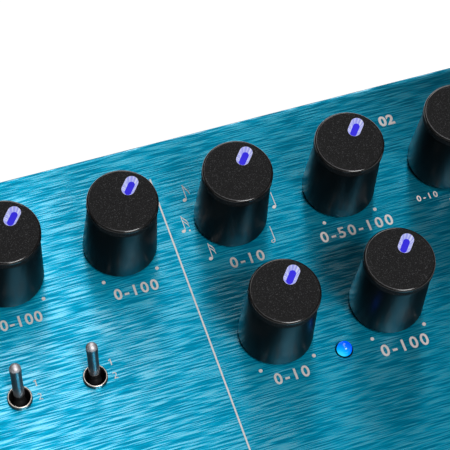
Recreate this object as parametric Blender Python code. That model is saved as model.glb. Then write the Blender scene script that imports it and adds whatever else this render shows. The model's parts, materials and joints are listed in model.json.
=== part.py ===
"""Dual effects pedal: a wedge-shaped brushed metal box with eight lit knobs, four toggles,
three footswitches and a row of sockets along its rear wall. Metres, +Z up, +X to the
player's right, +Y towards the sockets. The feet stand on Z = 0."""

import math

import bmesh
import bpy
from mathutils import Matrix, Vector

# Clearances. GAP parts pieces that touch on the real pedal, and OVERRUN carries a cutter
# past the face that it opens.
GAP = 0.0003
OVERRUN = 0.001
FUSE = 0.0004

# Enclosure, seen from the side as a wedge that rises towards the sockets.
WIDTH = 0.172
DEPTH = 0.126
FRONT_HEIGHT = 0.030
SLOPE = math.radians(7)
WALL = 0.002
PANEL = 0.002
CORNER = 0.003
EDGE_ROUND = 0.0006
PLATE = 0.0015
FOOT_HEIGHT = 0.003
FOOT_RADIUS = 0.0065
FOOT_DRAFT = 0.0004
FOOT_INSET = 0.018

# Plate screws and the bosses that they go into.
SCREW_RADIUS = 0.0015
SCREW_HEAD_RADIUS = 0.0028
SCREW_HEAD = 0.0016
SCREW_HEAD_ROUND = 0.0005
SCREW_RECESS_RADIUS = 0.001
SCREW_RECESS = 0.0008
SCREW_POINT = 0.0006
SCREW_REACH = 0.009
BOSS_WALL = 0.0022
BOSS_ROOF = 0.002

# Control grid on the panel. Sides are measured from the enclosure's side walls and rows
# from the rear edge, along the slope, so the grid follows the enclosure.
KNOB_SIDE = 0.026
REAR_MARGIN = 0.0215
ROW_PITCH = 0.0278
TOGGLE_SIDE = 0.0297
TOGGLE_PITCH = 0.0154
TOGGLE_ROW = 0.0482
RIGHT_TOGGLE_SIDE = 0.026
TEMPO_ROW = 0.0570
SWITCH_SIDE = 0.029
SWITCH_MARGIN = 0.021
STATUS_MARGIN = 0.040

# Knobs, with heights above the panel.
KNOB_HEIGHT = 0.0188
CAP_RADIUS = 0.00715
CAP_THICKNESS = 0.0019
CAP_ROUND = 0.0004
SKIRT_BASE_RADIUS = 0.0076
SKIRT_TOP_RADIUS = 0.0069
SKIRT_FLOAT = 0.0008
SKIRT_WALL = 0.0012
SKIRT_HUB = 0.0072
SKIRT_RIM = 0.0009
POINTER_ANGLE = math.radians(-40)
POINTER_CENTRE = 0.00375
POINTER_LENGTH = 0.0045
POINTER_WIDTH = 0.00265
POINTER_RIM = 0.00015
POINTER_TAPER = 0.0004
POINTER_DEPTH = 0.0011
POINTER_SINK = 0.0001
SHAFT_RADIUS = 0.003
SHAFT_FLANGE = 0.0005

# Potentiometers on the control board, under the panel.
POT_WIDTH = 0.0098
POT_LENGTH = 0.0112
POT_HEIGHT = 0.0066
BUSHING_RADIUS = 0.004
BUSHING_TOP = 0.005
NUT_RADIUS = 0.0056
NUT_HEIGHT = 0.002
POT_FLOOR = 0.0012
BOARD = 0.0016
BOARD_SIDE = 0.014
BOARD_REAR = 0.010
BOARD_FRONT = 0.066

# Toggle switches.
COLLAR_RADIUS = 0.00245
COLLAR_WALL = 0.00035
COLLAR_TOP = 0.001
TOGGLE_BODY_WIDTH = 0.0052
TOGGLE_BODY_LENGTH = 0.009
TOGGLE_WELL = 0.0046
TOGGLE_PIVOT = 0.0008
TOGGLE_LEAN = math.radians(18.5)
LEVER_REACH = 0.0092
LEVER_TIP_RADIUS = 0.00118
LEVER_NECK_RADIUS = 0.00114
LEVER_FOOT_RADIUS = 0.001
LEVER_FOOT = 0.0009
LEVER_TAIL = 0.0022
LEVER_BALL_RADIUS = 0.0014

# Indicator lights.
LED_RADIUS = 0.00155
LED_STAND = 0.0005
LED_FLANGE = 0.0004
LED_FLANGE_HEIGHT = 0.0007
LED_LEG = 0.0005
LED_LEG_SPREAD = 0.00127

# Footswitches.
SWITCH_BODY = 0.017
SWITCH_BODY_HEIGHT = 0.0165
SWITCH_BUSHING_RADIUS = 0.006
SWITCH_BUSHING_TOP = 0.005
SWITCH_NUT_RADIUS = 0.0088
SWITCH_NUT = 0.0028
SWITCH_NUT_BEVEL = 0.0005
PLUNGER_RADIUS = 0.0041
PLUNGER_TOP = 0.0095
PLUNGER_CROWN = 0.0013
PLUNGER_TAIL = 0.007
PLUNGER_TRAVEL = 0.0025
SWITCH_LUG = 0.003
SWITCH_LUG_WIDTH = 0.0022
SWITCH_LUG_THICKNESS = 0.0008

# Sockets in the rear wall.
SOCKET_HEIGHT = 0.020
JACK_SIDE = 0.024
JACK_PITCH = 0.022
JACK_BORE = 0.0033
JACK_BORE_DEPTH = 0.024
JACK_BARREL_RADIUS = 0.0047
JACK_BODY_WIDTH = 0.0156
JACK_BODY_HEIGHT = 0.0135
JACK_BODY_LENGTH = 0.0235
JACK_NUT_RADIUS = 0.0066
JACK_NUT = 0.0022
JACK_NOSE = 0.0034
DC_BORE = 0.0029
DC_BORE_DEPTH = 0.0095
DC_PIN_RADIUS = 0.00105
DC_PIN = 0.0085
DC_BARREL_RADIUS = 0.0056
DC_FLANGE_RADIUS = 0.007
DC_FLANGE = 0.0014
DC_LENGTH = 0.013

# Facets round a full turn.
KNOB_SIDES = 24
SHAFT_SIDES = 12
SWITCH_SIDES = 16
SMALL_SIDES = 12
FOOT_SIDES = 16
CAPSULE_STEPS = 5
SHARP = math.radians(35)

# Shares of the sizes above, with no unit.
BEVEL_SHARE = 0.5
BOSS_SHARE = 0.85
LUG_SHARE = 0.3
CAP_LIP_SHARE = 0.3
LEVER_BALL_SHARE = 0.33
LEVER_TIP_SHARES = ((1.0, -0.9), (1.0, 0.0), (0.75, 0.65), (0.0, 0.95))
CROWN_SHARES = ((1.0, 1.0), (0.9, 0.55), (0.6, 0.15), (0.0, 0.0))

# Derived places.
REAR_HEIGHT = FRONT_HEIGHT + DEPTH * math.tan(SLOPE)
PANEL_LENGTH = DEPTH / math.cos(SLOPE)
BODY_LIFT = FOOT_HEIGHT + GAP
PLATE_TOP = BODY_LIFT + PLATE
UNDER_PANEL = -PANEL - GAP
BOARD_TOP = UNDER_PANEL - POT_HEIGHT
SCREW_HOLE = SCREW_RADIUS + GAP
BOSS_RADIUS = SCREW_HOLE + BOSS_WALL
BOSS_INSET = WALL + BOSS_RADIUS * BOSS_SHARE
BOSS_TOP = PLATE_TOP + SCREW_REACH + BOSS_ROOF
SWITCH_ROW = PANEL_LENGTH - SWITCH_MARGIN
STATUS_ROW = PANEL_LENGTH - STATUS_MARGIN
BORE_RADIUS = SHAFT_RADIUS + GAP
CAP_UNDERSIDE = KNOB_HEIGHT - CAP_THICKNESS
SKIRT_TOP = CAP_UNDERSIDE - GAP
KNOB_PITCH = (WIDTH - 2 * KNOB_SIDE) / 5
KNOB_COLUMNS = [KNOB_SIDE - WIDTH / 2 + KNOB_PITCH * column for column in range(6)]
KNOB_PLACES = [(x, REAR_MARGIN) for x in KNOB_COLUMNS]
KNOB_PLACES += [(x, REAR_MARGIN + ROW_PITCH) for x in KNOB_COLUMNS[3:5]]
TOGGLE_COLUMN = TOGGLE_SIDE - WIDTH / 2
TOGGLE_PLACES = [(TOGGLE_COLUMN + TOGGLE_PITCH * n, TOGGLE_ROW) for n in range(3)]
TOGGLE_PLACES += [(WIDTH / 2 - RIGHT_TOGGLE_SIDE, TOGGLE_ROW)]
TEMPO_PLACE = ((KNOB_COLUMNS[3] + KNOB_COLUMNS[4]) / 2, TEMPO_ROW)
SWITCH_PITCH = WIDTH / 2 - SWITCH_SIDE
SWITCH_PLACES = [(SWITCH_PITCH * side, SWITCH_ROW) for side in (-1, 0, 1)]
STATUS_PLACES = [(SWITCH_PITCH * side, STATUS_ROW) for side in (-1, 1)]
JACK_COLUMN = WIDTH / 2 - JACK_SIDE
JACK_COLUMNS = (
    -JACK_COLUMN,
    JACK_PITCH - JACK_COLUMN,
    JACK_COLUMN - JACK_PITCH,
    JACK_COLUMN,
)
BOSS_PLACES = [
    (side * (WIDTH / 2 - BOSS_INSET), end * (DEPTH / 2 - BOSS_INSET))
    for end in (-1, 1)
    for side in (-1, 1)
]
FOOT_PLACES = [
    (side * (WIDTH / 2 - FOOT_INSET), end * (DEPTH / 2 - FOOT_INSET))
    for end in (-1, 1)
    for side in (-1, 1)
]


def clear_scene():
    for obj in list(bpy.data.objects):
        bpy.data.objects.remove(obj, do_unlink=True)


def material(name, colour, roughness, metallic=0.0, glow=0.0):
    made = bpy.data.materials.new(name)
    made.use_nodes = True
    shader = made.node_tree.nodes["Principled BSDF"]
    shader.inputs["Base Color"].default_value = (*colour, 1)
    shader.inputs["Roughness"].default_value = roughness
    shader.inputs["Metallic"].default_value = metallic
    shader.inputs["Emission Color"].default_value = (*colour, 1)
    shader.inputs["Emission Strength"].default_value = glow
    return made


def place(obj, parent=None, at=(0, 0, 0), turn=(0, 0, 0)):
    obj.parent = parent
    obj.location = at
    obj.rotation_euler = turn
    bpy.context.scene.collection.objects.link(obj)
    return obj


def empty(name, parent=None, at=(0, 0, 0), turn=(0, 0, 0)):
    return place(bpy.data.objects.new(name, None), parent, at, turn)


def mesh_of(name, bm, look=None):
    """Closes the bmesh into a mesh with outward faces and smooth round sides."""
    bmesh.ops.recalc_face_normals(bm, faces=bm.faces)
    mesh = bpy.data.meshes.new(name)
    bm.to_mesh(mesh)
    bm.free()
    mesh.shade_smooth()
    mesh.set_sharp_from_angle(angle=SHARP)
    if look:
        mesh.materials.append(look)
    return mesh


def solid(name, mesh, parent=None, at=(0, 0, 0), turn=(0, 0, 0)):
    return place(bpy.data.objects.new(name, mesh), parent, at, turn)


def helper(name, bm, parent=None, at=(0, 0, 0), turn=(0, 0, 0)):
    """A cutter or a joined shape that stays out of the model."""
    made = solid(name, mesh_of(name, bm), parent, at, turn)
    made.hide_render = True
    made.display_type = "WIRE"
    return made


def boolean(obj, other, operation="DIFFERENCE"):
    step = obj.modifiers.new(operation.lower(), "BOOLEAN")
    step.operation = operation
    step.solver = "EXACT"
    step.object = other


def baked(obj, name, look):
    """The object's finished mesh, for copies to share. The object itself goes."""
    graph = bpy.context.evaluated_depsgraph_get()
    mesh = bpy.data.meshes.new_from_object(obj.evaluated_get(graph))
    helpers = [step.object for step in obj.modifiers if step.type == "BOOLEAN"]
    for used in [obj, *helpers]:
        bpy.data.objects.remove(used, do_unlink=True)
    mesh.name = name
    mesh.materials.clear()
    mesh.materials.append(look)
    mesh.shade_smooth()
    mesh.set_sharp_from_angle(angle=SHARP)
    return mesh


def turn(bm, profile, sides, at=(0, 0, 0)):
    """Spins a profile of (radius, height) points round a vertical axis through `at`."""
    corners = [bm.verts.new((at[0] + r, at[1], at[2] + z)) for r, z in profile]
    pairs = list(zip(corners, corners[1:]))
    if profile[0][0] or profile[-1][0]:
        pairs.append((corners[-1], corners[0]))
    edges = [bm.edges.new(pair) for pair in pairs]
    spun = bmesh.ops.spin(
        bm,
        geom=corners + edges,
        cent=at,
        axis=(0, 0, 1),
        angle=math.tau,
        steps=sides,
        use_merge=True,
    )
    made = corners + [v for v in spun["geom_last"] if isinstance(v, bmesh.types.BMVert)]
    bmesh.ops.remove_doubles(bm, verts=list(bm.verts), dist=GAP / 100)
    return made


def pillar(bm, radius, low, high, sides, at=(0, 0)):
    """A closed cylinder or prism between two heights."""
    bmesh.ops.create_cone(
        bm,
        cap_ends=True,
        segments=sides,
        radius1=radius,
        radius2=radius,
        depth=high - low,
        matrix=Matrix.Translation((at[0], at[1], (low + high) / 2)),
    )


def block(bm, size, centre):
    scale = Matrix.Diagonal((*size, 1))
    bmesh.ops.create_cube(bm, size=1, matrix=Matrix.Translation(centre) @ scale)


def rounded_slab(bm, width, depth, low, high_front, high_rear, corner):
    """A slab with upright rounded corners, whose top may slope towards the front."""
    half, reach = width / 2, depth / 2
    outline = ((-reach, low), (reach, low), (reach, high_rear), (-reach, high_front))
    face = bm.faces.new([bm.verts.new((-half, y, z)) for y, z in outline])
    pushed = bmesh.ops.extrude_face_region(bm, geom=[face])
    moved = [v for v in pushed["geom"] if isinstance(v, bmesh.types.BMVert)]
    bmesh.ops.translate(bm, verts=moved, vec=(width, 0, 0))
    upright = [
        edge
        for edge in bm.edges
        if abs(edge.verts[0].co.x - edge.verts[1].co.x) < GAP
        and abs(edge.verts[0].co.y - edge.verts[1].co.y) < GAP
    ]
    bmesh.ops.bevel(
        bm,
        geom=upright,
        offset=corner,
        segments=3,
        profile=BEVEL_SHARE,
        affect="EDGES",
    )


def wedge(bm, inset, roof, low, corner):
    """The enclosure's outline drawn in by `inset`, with its roof lowered by `roof`."""
    drop = roof / math.cos(SLOPE)
    fall = inset * math.tan(SLOPE)
    rounded_slab(
        bm,
        WIDTH - 2 * inset,
        DEPTH - 2 * inset,
        low,
        FRONT_HEIGHT - drop + fall,
        REAR_HEIGHT - drop - fall,
        corner,
    )


def capsule(bm, length, width, height):
    """A face with half-round ends, long along Y and centred on the pointer."""
    radius = width / 2
    straight = length / 2 - radius
    corners = []
    for end in (1, -1):
        for step in range(CAPSULE_STEPS + 1):
            angle = math.pi * (step / CAPSULE_STEPS + (end < 0))
            x = radius * math.cos(angle)
            y = POINTER_CENTRE + end * straight + radius * math.sin(angle)
            corners.append(bm.verts.new((x, y, height)))
    return bm.faces.new(corners)


def raise_face(bm, face, height):
    """Extrudes a flat face straight up into a closed body and gives back its top face."""
    pushed = bmesh.ops.extrude_face_region(bm, geom=[face], use_keep_orig=True)
    top = next(g for g in pushed["geom"] if isinstance(g, bmesh.types.BMFace))
    bmesh.ops.translate(bm, verts=top.verts, vec=(0, 0, height))
    return top


clear_scene()

anodised = material("brushed_blue_metal", (0.02, 0.30, 0.42), 0.35, 1.0)
dark_steel = material("dark_plate", (0.05, 0.05, 0.055), 0.5, 0.6)
rubber = material("rubber", (0.02, 0.02, 0.02), 0.9)
bright_steel = material("polished_steel", (0.6, 0.6, 0.6), 0.2, 1.0)
soft_black = material("soft_black", (0.015, 0.015, 0.017), 0.65)
satin_black = material("satin_black", (0.01, 0.01, 0.011), 0.35)
lit_blue = material("lit_pointer", (0.30, 0.28, 0.85), 0.4, 0.0, 1.0)
led_blue = material("led_lens", (0.0, 0.25, 1.0), 0.2, 0.0, 1.0)
board_green = material("control_board", (0.03, 0.12, 0.06), 0.6)
moulded_black = material("moulded_black", (0.02, 0.02, 0.02), 0.5)

panel = empty("panel_frame", None, (0, DEPTH / 2, REAR_HEIGHT), (SLOPE, 0, 0))
rear = empty("rear_frame", None, (0, DEPTH / 2, SOCKET_HEIGHT), (-math.pi / 2, 0, 0))

# Shell: the outer wedge with softened top edges, less its hollow, plus the corner bosses.
bm = bmesh.new()
wedge(bm, 0, 0, BODY_LIFT, CORNER)
up = Vector((0, -math.sin(SLOPE), math.cos(SLOPE)))
bm.normal_update()
roofs = [f for f in bm.faces if abs(f.normal.dot(up)) > math.cos(SLOPE / 4)]
roof_face = max(roofs, key=lambda face: face.calc_center_median().z)
bmesh.ops.bevel(
    bm,
    geom=list(roof_face.edges),
    offset=EDGE_ROUND,
    segments=2,
    profile=BEVEL_SHARE,
    affect="EDGES",
)
shell = solid("shell", mesh_of("shell", bm, anodised))

bm = bmesh.new()
wedge(bm, WALL, PANEL, BODY_LIFT - OVERRUN, CORNER - WALL)
boolean(shell, helper("shell_hollow", bm))

bm = bmesh.new()
for x, y in BOSS_PLACES:
    pillar(bm, BOSS_RADIUS, PLATE_TOP + GAP, BOSS_TOP, SMALL_SIDES, (x, y))
boolean(shell, helper("shell_bosses", bm), "UNION")

bm = bmesh.new()
for x, y in BOSS_PLACES:
    bore_end = PLATE_TOP + SCREW_REACH + GAP
    pillar(bm, SCREW_HOLE, BODY_LIFT - OVERRUN, bore_end, SMALL_SIDES, (x, y))
screw_holes = helper("screw_holes", bm)
boolean(shell, screw_holes)

# Panel holes, each a clearance round the piece that comes up through it.
bm = bmesh.new()
through = (-PANEL - OVERRUN, OVERRUN)
for places, radius, sides in (
    (KNOB_PLACES, BUSHING_RADIUS + GAP, SHAFT_SIDES),
    (TOGGLE_PLACES, COLLAR_RADIUS + GAP, SMALL_SIDES),
    ([TEMPO_PLACE, *STATUS_PLACES], LED_RADIUS + GAP, SMALL_SIDES),
    (SWITCH_PLACES, SWITCH_BUSHING_RADIUS + GAP, SWITCH_SIDES),
):
    for x, row in places:
        pillar(bm, radius, *through, sides, (x, -row))
boolean(shell, helper("panel_holes", bm, panel))

# Rear wall holes. The rear frame's Z points out of the wall.
bm = bmesh.new()
through = (-WALL - OVERRUN, OVERRUN)
for x in JACK_COLUMNS:
    pillar(bm, JACK_BARREL_RADIUS + GAP, *through, SHAFT_SIDES, (x, 0))
pillar(bm, DC_BARREL_RADIUS + GAP, *through, SHAFT_SIDES)
boolean(shell, helper("rear_holes", bm, rear))

# Base plate: it drops between the walls and rests on the bosses.
bm = bmesh.new()
side = 2 * (WALL + GAP)
rounded_slab(
    bm,
    WIDTH - side,
    DEPTH - side,
    BODY_LIFT,
    PLATE_TOP,
    PLATE_TOP,
    CORNER - WALL,
)
base_plate = solid("base_plate", mesh_of("base_plate", bm, dark_steel))
boolean(base_plate, screw_holes)

# Feet: turned rubber pads with a little draft.
bm = bmesh.new()
turn(
    bm,
    (
        (0, 0),
        (FOOT_RADIUS - 2 * FOOT_DRAFT, 0),
        (FOOT_RADIUS - FOOT_DRAFT, FOOT_DRAFT),
        (FOOT_RADIUS, FOOT_HEIGHT),
        (0, FOOT_HEIGHT),
    ),
    FOOT_SIDES,
)
foot_mesh = mesh_of("foot", bm, rubber)
for number, (x, y) in enumerate(FOOT_PLACES, 1):
    solid(f"foot_{number}", foot_mesh, None, (x, y, 0))

# Plate screws: a button head with a driver recess, under the plate.
bm = bmesh.new()
turn(
    bm,
    (
        (0, -SCREW_HEAD + SCREW_RECESS),
        (SCREW_RECESS_RADIUS, -SCREW_HEAD + SCREW_RECESS),
        (SCREW_RECESS_RADIUS, -SCREW_HEAD),
        (SCREW_HEAD_RADIUS - SCREW_HEAD_ROUND, -SCREW_HEAD),
        (SCREW_HEAD_RADIUS, -SCREW_HEAD + SCREW_HEAD_ROUND),
        (SCREW_HEAD_RADIUS, 0),
        (SCREW_RADIUS, 0),
        (SCREW_RADIUS, GAP + PLATE + SCREW_REACH - SCREW_POINT),
        (SCREW_RADIUS - SCREW_POINT, GAP + PLATE + SCREW_REACH),
        (0, GAP + PLATE + SCREW_REACH),
    ),
    SMALL_SIDES,
)
screw_mesh = mesh_of("plate_screw", bm, bright_steel)
for number, (x, y) in enumerate(BOSS_PLACES, 1):
    solid(f"plate_screw_{number}", screw_mesh, None, (x, y, BODY_LIFT - GAP))

# Control board with its potentiometers, whose bushings and nuts grip the panel.
bm = bmesh.new()
block(
    bm,
    (WIDTH - 2 * BOARD_SIDE, BOARD_FRONT - BOARD_REAR, BOARD),
    (0, -(BOARD_FRONT + BOARD_REAR) / 2, BOARD_TOP - BOARD / 2),
)
board = solid("control_board", mesh_of("control_board", bm, board_green), panel)
housings, bushings, nuts, bores = (bmesh.new() for _ in range(4))
for x, row in KNOB_PLACES:
    low, high = BOARD_TOP - FUSE, UNDER_PANEL
    block(housings, (POT_WIDTH, POT_LENGTH, high - low), (x, -row, (low + high) / 2))
    pillar(bushings, BUSHING_RADIUS, high - FUSE, BUSHING_TOP, SHAFT_SIDES, (x, -row))
    pillar(nuts, NUT_RADIUS, GAP, GAP + NUT_HEIGHT, 6, (x, -row))
    pillar(
        bores,
        BORE_RADIUS,
        BOARD_TOP + POT_FLOOR,
        BUSHING_TOP + OVERRUN,
        SHAFT_SIDES,
        (x, -row),
    )
boolean(board, helper("pot_housings", housings, panel), "UNION")
boolean(board, helper("pot_bushings", bushings, panel), "UNION")
boolean(board, helper("pot_nuts", nuts, panel), "UNION")
boolean(board, helper("pot_bores", bores, panel))

# Knob skirt: a tapered cup over the nut, with a seat for the shaft's flange on top.
seat_depth = SHAFT_FLANGE + GAP
flange_radius = SKIRT_TOP_RADIUS - SKIRT_RIM - GAP
bm = bmesh.new()
turn(
    bm,
    (
        (SKIRT_BASE_RADIUS, SKIRT_FLOAT),
        (SKIRT_TOP_RADIUS, SKIRT_TOP),
        (SKIRT_TOP_RADIUS - SKIRT_RIM, SKIRT_TOP),
        (SKIRT_TOP_RADIUS - SKIRT_RIM, SKIRT_TOP - seat_depth),
        (BORE_RADIUS, SKIRT_TOP - seat_depth),
        (BORE_RADIUS, SKIRT_HUB),
        (SKIRT_BASE_RADIUS - 2 * SKIRT_WALL, SKIRT_HUB),
        (SKIRT_BASE_RADIUS - SKIRT_WALL, SKIRT_FLOAT),
    ),
    KNOB_SIDES,
)
skirt_mesh = mesh_of("knob_skirt", bm, satin_black)

# Knob cap: a disc with a rounded rim, and the window that the pointer stands in.
bm = bmesh.new()
turn(
    bm,
    (
        (0, CAP_UNDERSIDE),
        (CAP_RADIUS, CAP_UNDERSIDE),
        (CAP_RADIUS, KNOB_HEIGHT - CAP_ROUND),
        (
            CAP_RADIUS - CAP_LIP_SHARE * CAP_ROUND,
            KNOB_HEIGHT - CAP_LIP_SHARE * CAP_ROUND,
        ),
        (CAP_RADIUS - CAP_ROUND, KNOB_HEIGHT),
        (0, KNOB_HEIGHT),
    ),
    KNOB_SIDES,
)
cap = solid("cap_blank", mesh_of("cap_blank", bm))
bm = bmesh.new()
window = capsule(
    bm,
    POINTER_LENGTH + GAP,
    POINTER_WIDTH + GAP,
    CAP_UNDERSIDE - OVERRUN,
)
raise_face(bm, window, CAP_THICKNESS + 2 * OVERRUN)
boolean(cap, helper("cap_window", bm))
cap_mesh = baked(cap, "knob_cap", soft_black)

# Clear shaft: it turns in the pot, carries the knob on its flange and lights the pointer.
shaft_end = BOARD_TOP + POT_FLOOR + GAP
flange_top = SKIRT_TOP - seat_depth + GAP + SHAFT_FLANGE
bm = bmesh.new()
turn(
    bm,
    (
        (0, shaft_end),
        (SHAFT_RADIUS, shaft_end),
        (SHAFT_RADIUS, flange_top - SHAFT_FLANGE),
        (flange_radius, flange_top - SHAFT_FLANGE),
        (flange_radius, flange_top),
        (0, flange_top),
    ),
    SHAFT_SIDES,
)
shaft = solid("shaft_blank", mesh_of("shaft_blank", bm))
bm = bmesh.new()
foot = capsule(bm, POINTER_LENGTH - GAP, POINTER_WIDTH - GAP, flange_top - FUSE)
lens = raise_face(bm, foot, KNOB_HEIGHT - POINTER_SINK - flange_top + FUSE)
bmesh.ops.recalc_face_normals(bm, faces=bm.faces)
bmesh.ops.inset_region(bm, faces=[lens], thickness=POINTER_RIM)
bmesh.ops.inset_region(
    bm, faces=[lens], thickness=POINTER_TAPER, depth=-POINTER_DEPTH
)
boolean(shaft, helper("pointer", bm), "UNION")
shaft_mesh = baked(shaft, "knob_shaft", lit_blue)

for number, (x, row) in enumerate(KNOB_PLACES, 1):
    axis = empty(f"knob_{number}", panel, (x, -row, 0), (0, 0, POINTER_ANGLE))
    solid(f"knob_{number}_skirt", skirt_mesh, axis)
    solid(f"knob_{number}_cap", cap_mesh, axis)
    solid(f"knob_{number}_shaft", shaft_mesh, axis)

# Toggle body: a small housing under the panel with a thin collar round the lever's well.
bm = bmesh.new()
body_low = BOARD_TOP + GAP
block(
    bm,
    (TOGGLE_BODY_WIDTH, TOGGLE_BODY_LENGTH, UNDER_PANEL - body_low),
    (0, 0, (UNDER_PANEL + body_low) / 2),
)
toggle = solid("toggle_blank", mesh_of("toggle_blank", bm))
bm = bmesh.new()
pillar(bm, COLLAR_RADIUS, UNDER_PANEL - FUSE, COLLAR_TOP, SMALL_SIDES)
boolean(toggle, helper("collar", bm), "UNION")
bm = bmesh.new()
pillar(
    bm, COLLAR_RADIUS - COLLAR_WALL, -TOGGLE_WELL, COLLAR_TOP + OVERRUN, SMALL_SIDES
)
boolean(toggle, helper("lever_well", bm))
toggle_mesh = baked(toggle, "toggle_body", moulded_black)

# Toggle lever, turned about its own length from the pivot: tail, ball, neck and domed tip.
lever_tip = [
    (radius * LEVER_TIP_RADIUS, LEVER_REACH + height * LEVER_TIP_RADIUS)
    for radius, height in LEVER_TIP_SHARES
]
bm = bmesh.new()
turn(
    bm,
    (
        (0, -LEVER_TAIL),
        (LEVER_FOOT_RADIUS, -LEVER_TAIL),
        (LEVER_BALL_RADIUS, -LEVER_FOOT),
        (LEVER_BALL_RADIUS, LEVER_BALL_SHARE * LEVER_FOOT),
        (LEVER_FOOT_RADIUS, LEVER_FOOT),
        (LEVER_NECK_RADIUS, LEVER_REACH - LEVER_TIP_RADIUS),
        *lever_tip,
    ),
    SMALL_SIDES,
)
lever_mesh = mesh_of("toggle_lever", bm, bright_steel)
for number, (x, row) in enumerate(TOGGLE_PLACES, 1):
    solid(f"toggle_{number}_body", toggle_mesh, panel, (x, -row, 0))
    pivot = (x, -row, -TOGGLE_PIVOT)
    solid(f"toggle_{number}_lever", lever_mesh, panel, pivot, (-TOGGLE_LEAN, 0, 0))

# Indicator lights: domed lenses with a flange under the panel and two legs.
bm = bmesh.new()
base = UNDER_PANEL - LED_FLANGE_HEIGHT
dome = [
    (LED_RADIUS * math.cos(angle), LED_STAND + LED_RADIUS * math.sin(angle))
    for angle in (math.pi / 2 * step / 4 for step in range(4))
]
turn(
    bm,
    (
        (0, base),
        (LED_RADIUS + LED_FLANGE, base),
        (LED_RADIUS + LED_FLANGE, UNDER_PANEL),
        (LED_RADIUS, UNDER_PANEL),
        *dome,
        (0, LED_STAND + LED_RADIUS),
    ),
    SMALL_SIDES,
)
led = solid("led_blank", mesh_of("led_blank", bm))
bm = bmesh.new()
leg_low, leg_high = BOARD_TOP + GAP, base + FUSE
for side in (-1, 1):
    block(
        bm,
        (LED_LEG, LED_LEG, leg_high - leg_low),
        (side * LED_LEG_SPREAD, 0, (leg_high + leg_low) / 2),
    )
boolean(led, helper("led_legs", bm), "UNION")
led_mesh = baked(led, "led", led_blue)
solid("tempo_led", led_mesh, panel, (TEMPO_PLACE[0], -TEMPO_PLACE[1], 0))
for number, (x, row) in enumerate(STATUS_PLACES, 1):
    solid(f"status_led_{number}", led_mesh, panel, (x, -row, 0))

# Footswitch body: a housing with solder lugs and a bored bushing that passes the panel.
bm = bmesh.new()
switch_low = UNDER_PANEL - SWITCH_BODY_HEIGHT
block(
    bm,
    (SWITCH_BODY, SWITCH_BODY, SWITCH_BODY_HEIGHT),
    (0, 0, UNDER_PANEL - SWITCH_BODY_HEIGHT / 2),
)
switch = solid("switch_blank", mesh_of("switch_blank", bm))
bm = bmesh.new()
lug_low, lug_high = switch_low - SWITCH_LUG, switch_low + FUSE
for column in (-1, 0, 1):
    for line in (-1, 0, 1):
        block(
            bm,
            (SWITCH_LUG_WIDTH, SWITCH_LUG_THICKNESS, lug_high - lug_low),
            (
                column * SWITCH_BODY * LUG_SHARE,
                line * SWITCH_BODY * LUG_SHARE,
                (lug_low + lug_high) / 2,
            ),
        )
boolean(switch, helper("switch_lugs", bm), "UNION")
bm = bmesh.new()
pillar(
    bm,
    SWITCH_BUSHING_RADIUS,
    UNDER_PANEL - FUSE,
    SWITCH_BUSHING_TOP,
    SWITCH_SIDES,
)
boolean(switch, helper("switch_bushing", bm), "UNION")
bm = bmesh.new()
bore_low = -PLUNGER_TAIL - PLUNGER_TRAVEL - GAP
pillar(
    bm,
    PLUNGER_RADIUS + GAP,
    bore_low,
    SWITCH_BUSHING_TOP + OVERRUN,
    SWITCH_SIDES,
)
boolean(switch, helper("switch_bore", bm))
switch_mesh = baked(switch, "footswitch_body", moulded_black)

# Footswitch nut: a hexagon with its top corners turned off, open round the bushing.
bm = bmesh.new()
pillar(bm, SWITCH_NUT_RADIUS, GAP, GAP + SWITCH_NUT, 6)
bm.normal_update()
top = max(bm.faces, key=lambda face: face.calc_center_median().z)
bmesh.ops.bevel(
    bm,
    geom=list(top.edges),
    offset=SWITCH_NUT_BEVEL,
    segments=1,
    profile=BEVEL_SHARE,
    affect="EDGES",
)
nut = solid("nut_blank", mesh_of("nut_blank", bm))
bm = bmesh.new()
pillar(
    bm,
    SWITCH_BUSHING_RADIUS + GAP,
    -OVERRUN,
    SWITCH_NUT + 2 * OVERRUN,
    SWITCH_SIDES,
)
boolean(nut, helper("nut_bore", bm))
nut_mesh = baked(nut, "footswitch_nut", bright_steel)

# Footswitch plunger: a plain shaft with a crowned top.
crown = [
    (radius * PLUNGER_RADIUS, PLUNGER_TOP - drop * PLUNGER_CROWN)
    for radius, drop in CROWN_SHARES
]
bm = bmesh.new()
turn(
    bm,
    (
        (0, -PLUNGER_TAIL),
        (PLUNGER_RADIUS, -PLUNGER_TAIL),
        *crown,
    ),
    SWITCH_SIDES,
)
plunger_mesh = mesh_of("footswitch_plunger", bm, bright_steel)
for number, (x, row) in enumerate(SWITCH_PLACES, 1):
    centre = (x, -row, 0)
    solid(f"footswitch_{number}_body", switch_mesh, panel, centre)
    solid(f"footswitch_{number}_nut", nut_mesh, panel, centre)
    solid(f"footswitch_{number}_plunger", plunger_mesh, panel, centre)

# Jack sockets: a boxed body inside the wall, a threaded barrel through it and a nut.
bm = bmesh.new()
inside = -WALL - GAP
block(
    bm,
    (JACK_BODY_WIDTH, JACK_BODY_HEIGHT, JACK_BODY_LENGTH),
    (0, 0, inside - JACK_BODY_LENGTH / 2),
)
jack = solid("jack_blank", mesh_of("jack_blank", bm))
bm = bmesh.new()
pillar(bm, JACK_BARREL_RADIUS, inside - FUSE, JACK_NOSE, SHAFT_SIDES)
boolean(jack, helper("jack_barrel", bm), "UNION")
bm = bmesh.new()
pillar(bm, JACK_NUT_RADIUS, GAP, GAP + JACK_NUT, 6)
boolean(jack, helper("jack_nut", bm), "UNION")
bm = bmesh.new()
pillar(bm, JACK_BORE, JACK_NOSE - JACK_BORE_DEPTH, JACK_NOSE + OVERRUN, SHAFT_SIDES)
boolean(jack, helper("jack_bore", bm))
jack_mesh = baked(jack, "jack", moulded_black)
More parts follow.
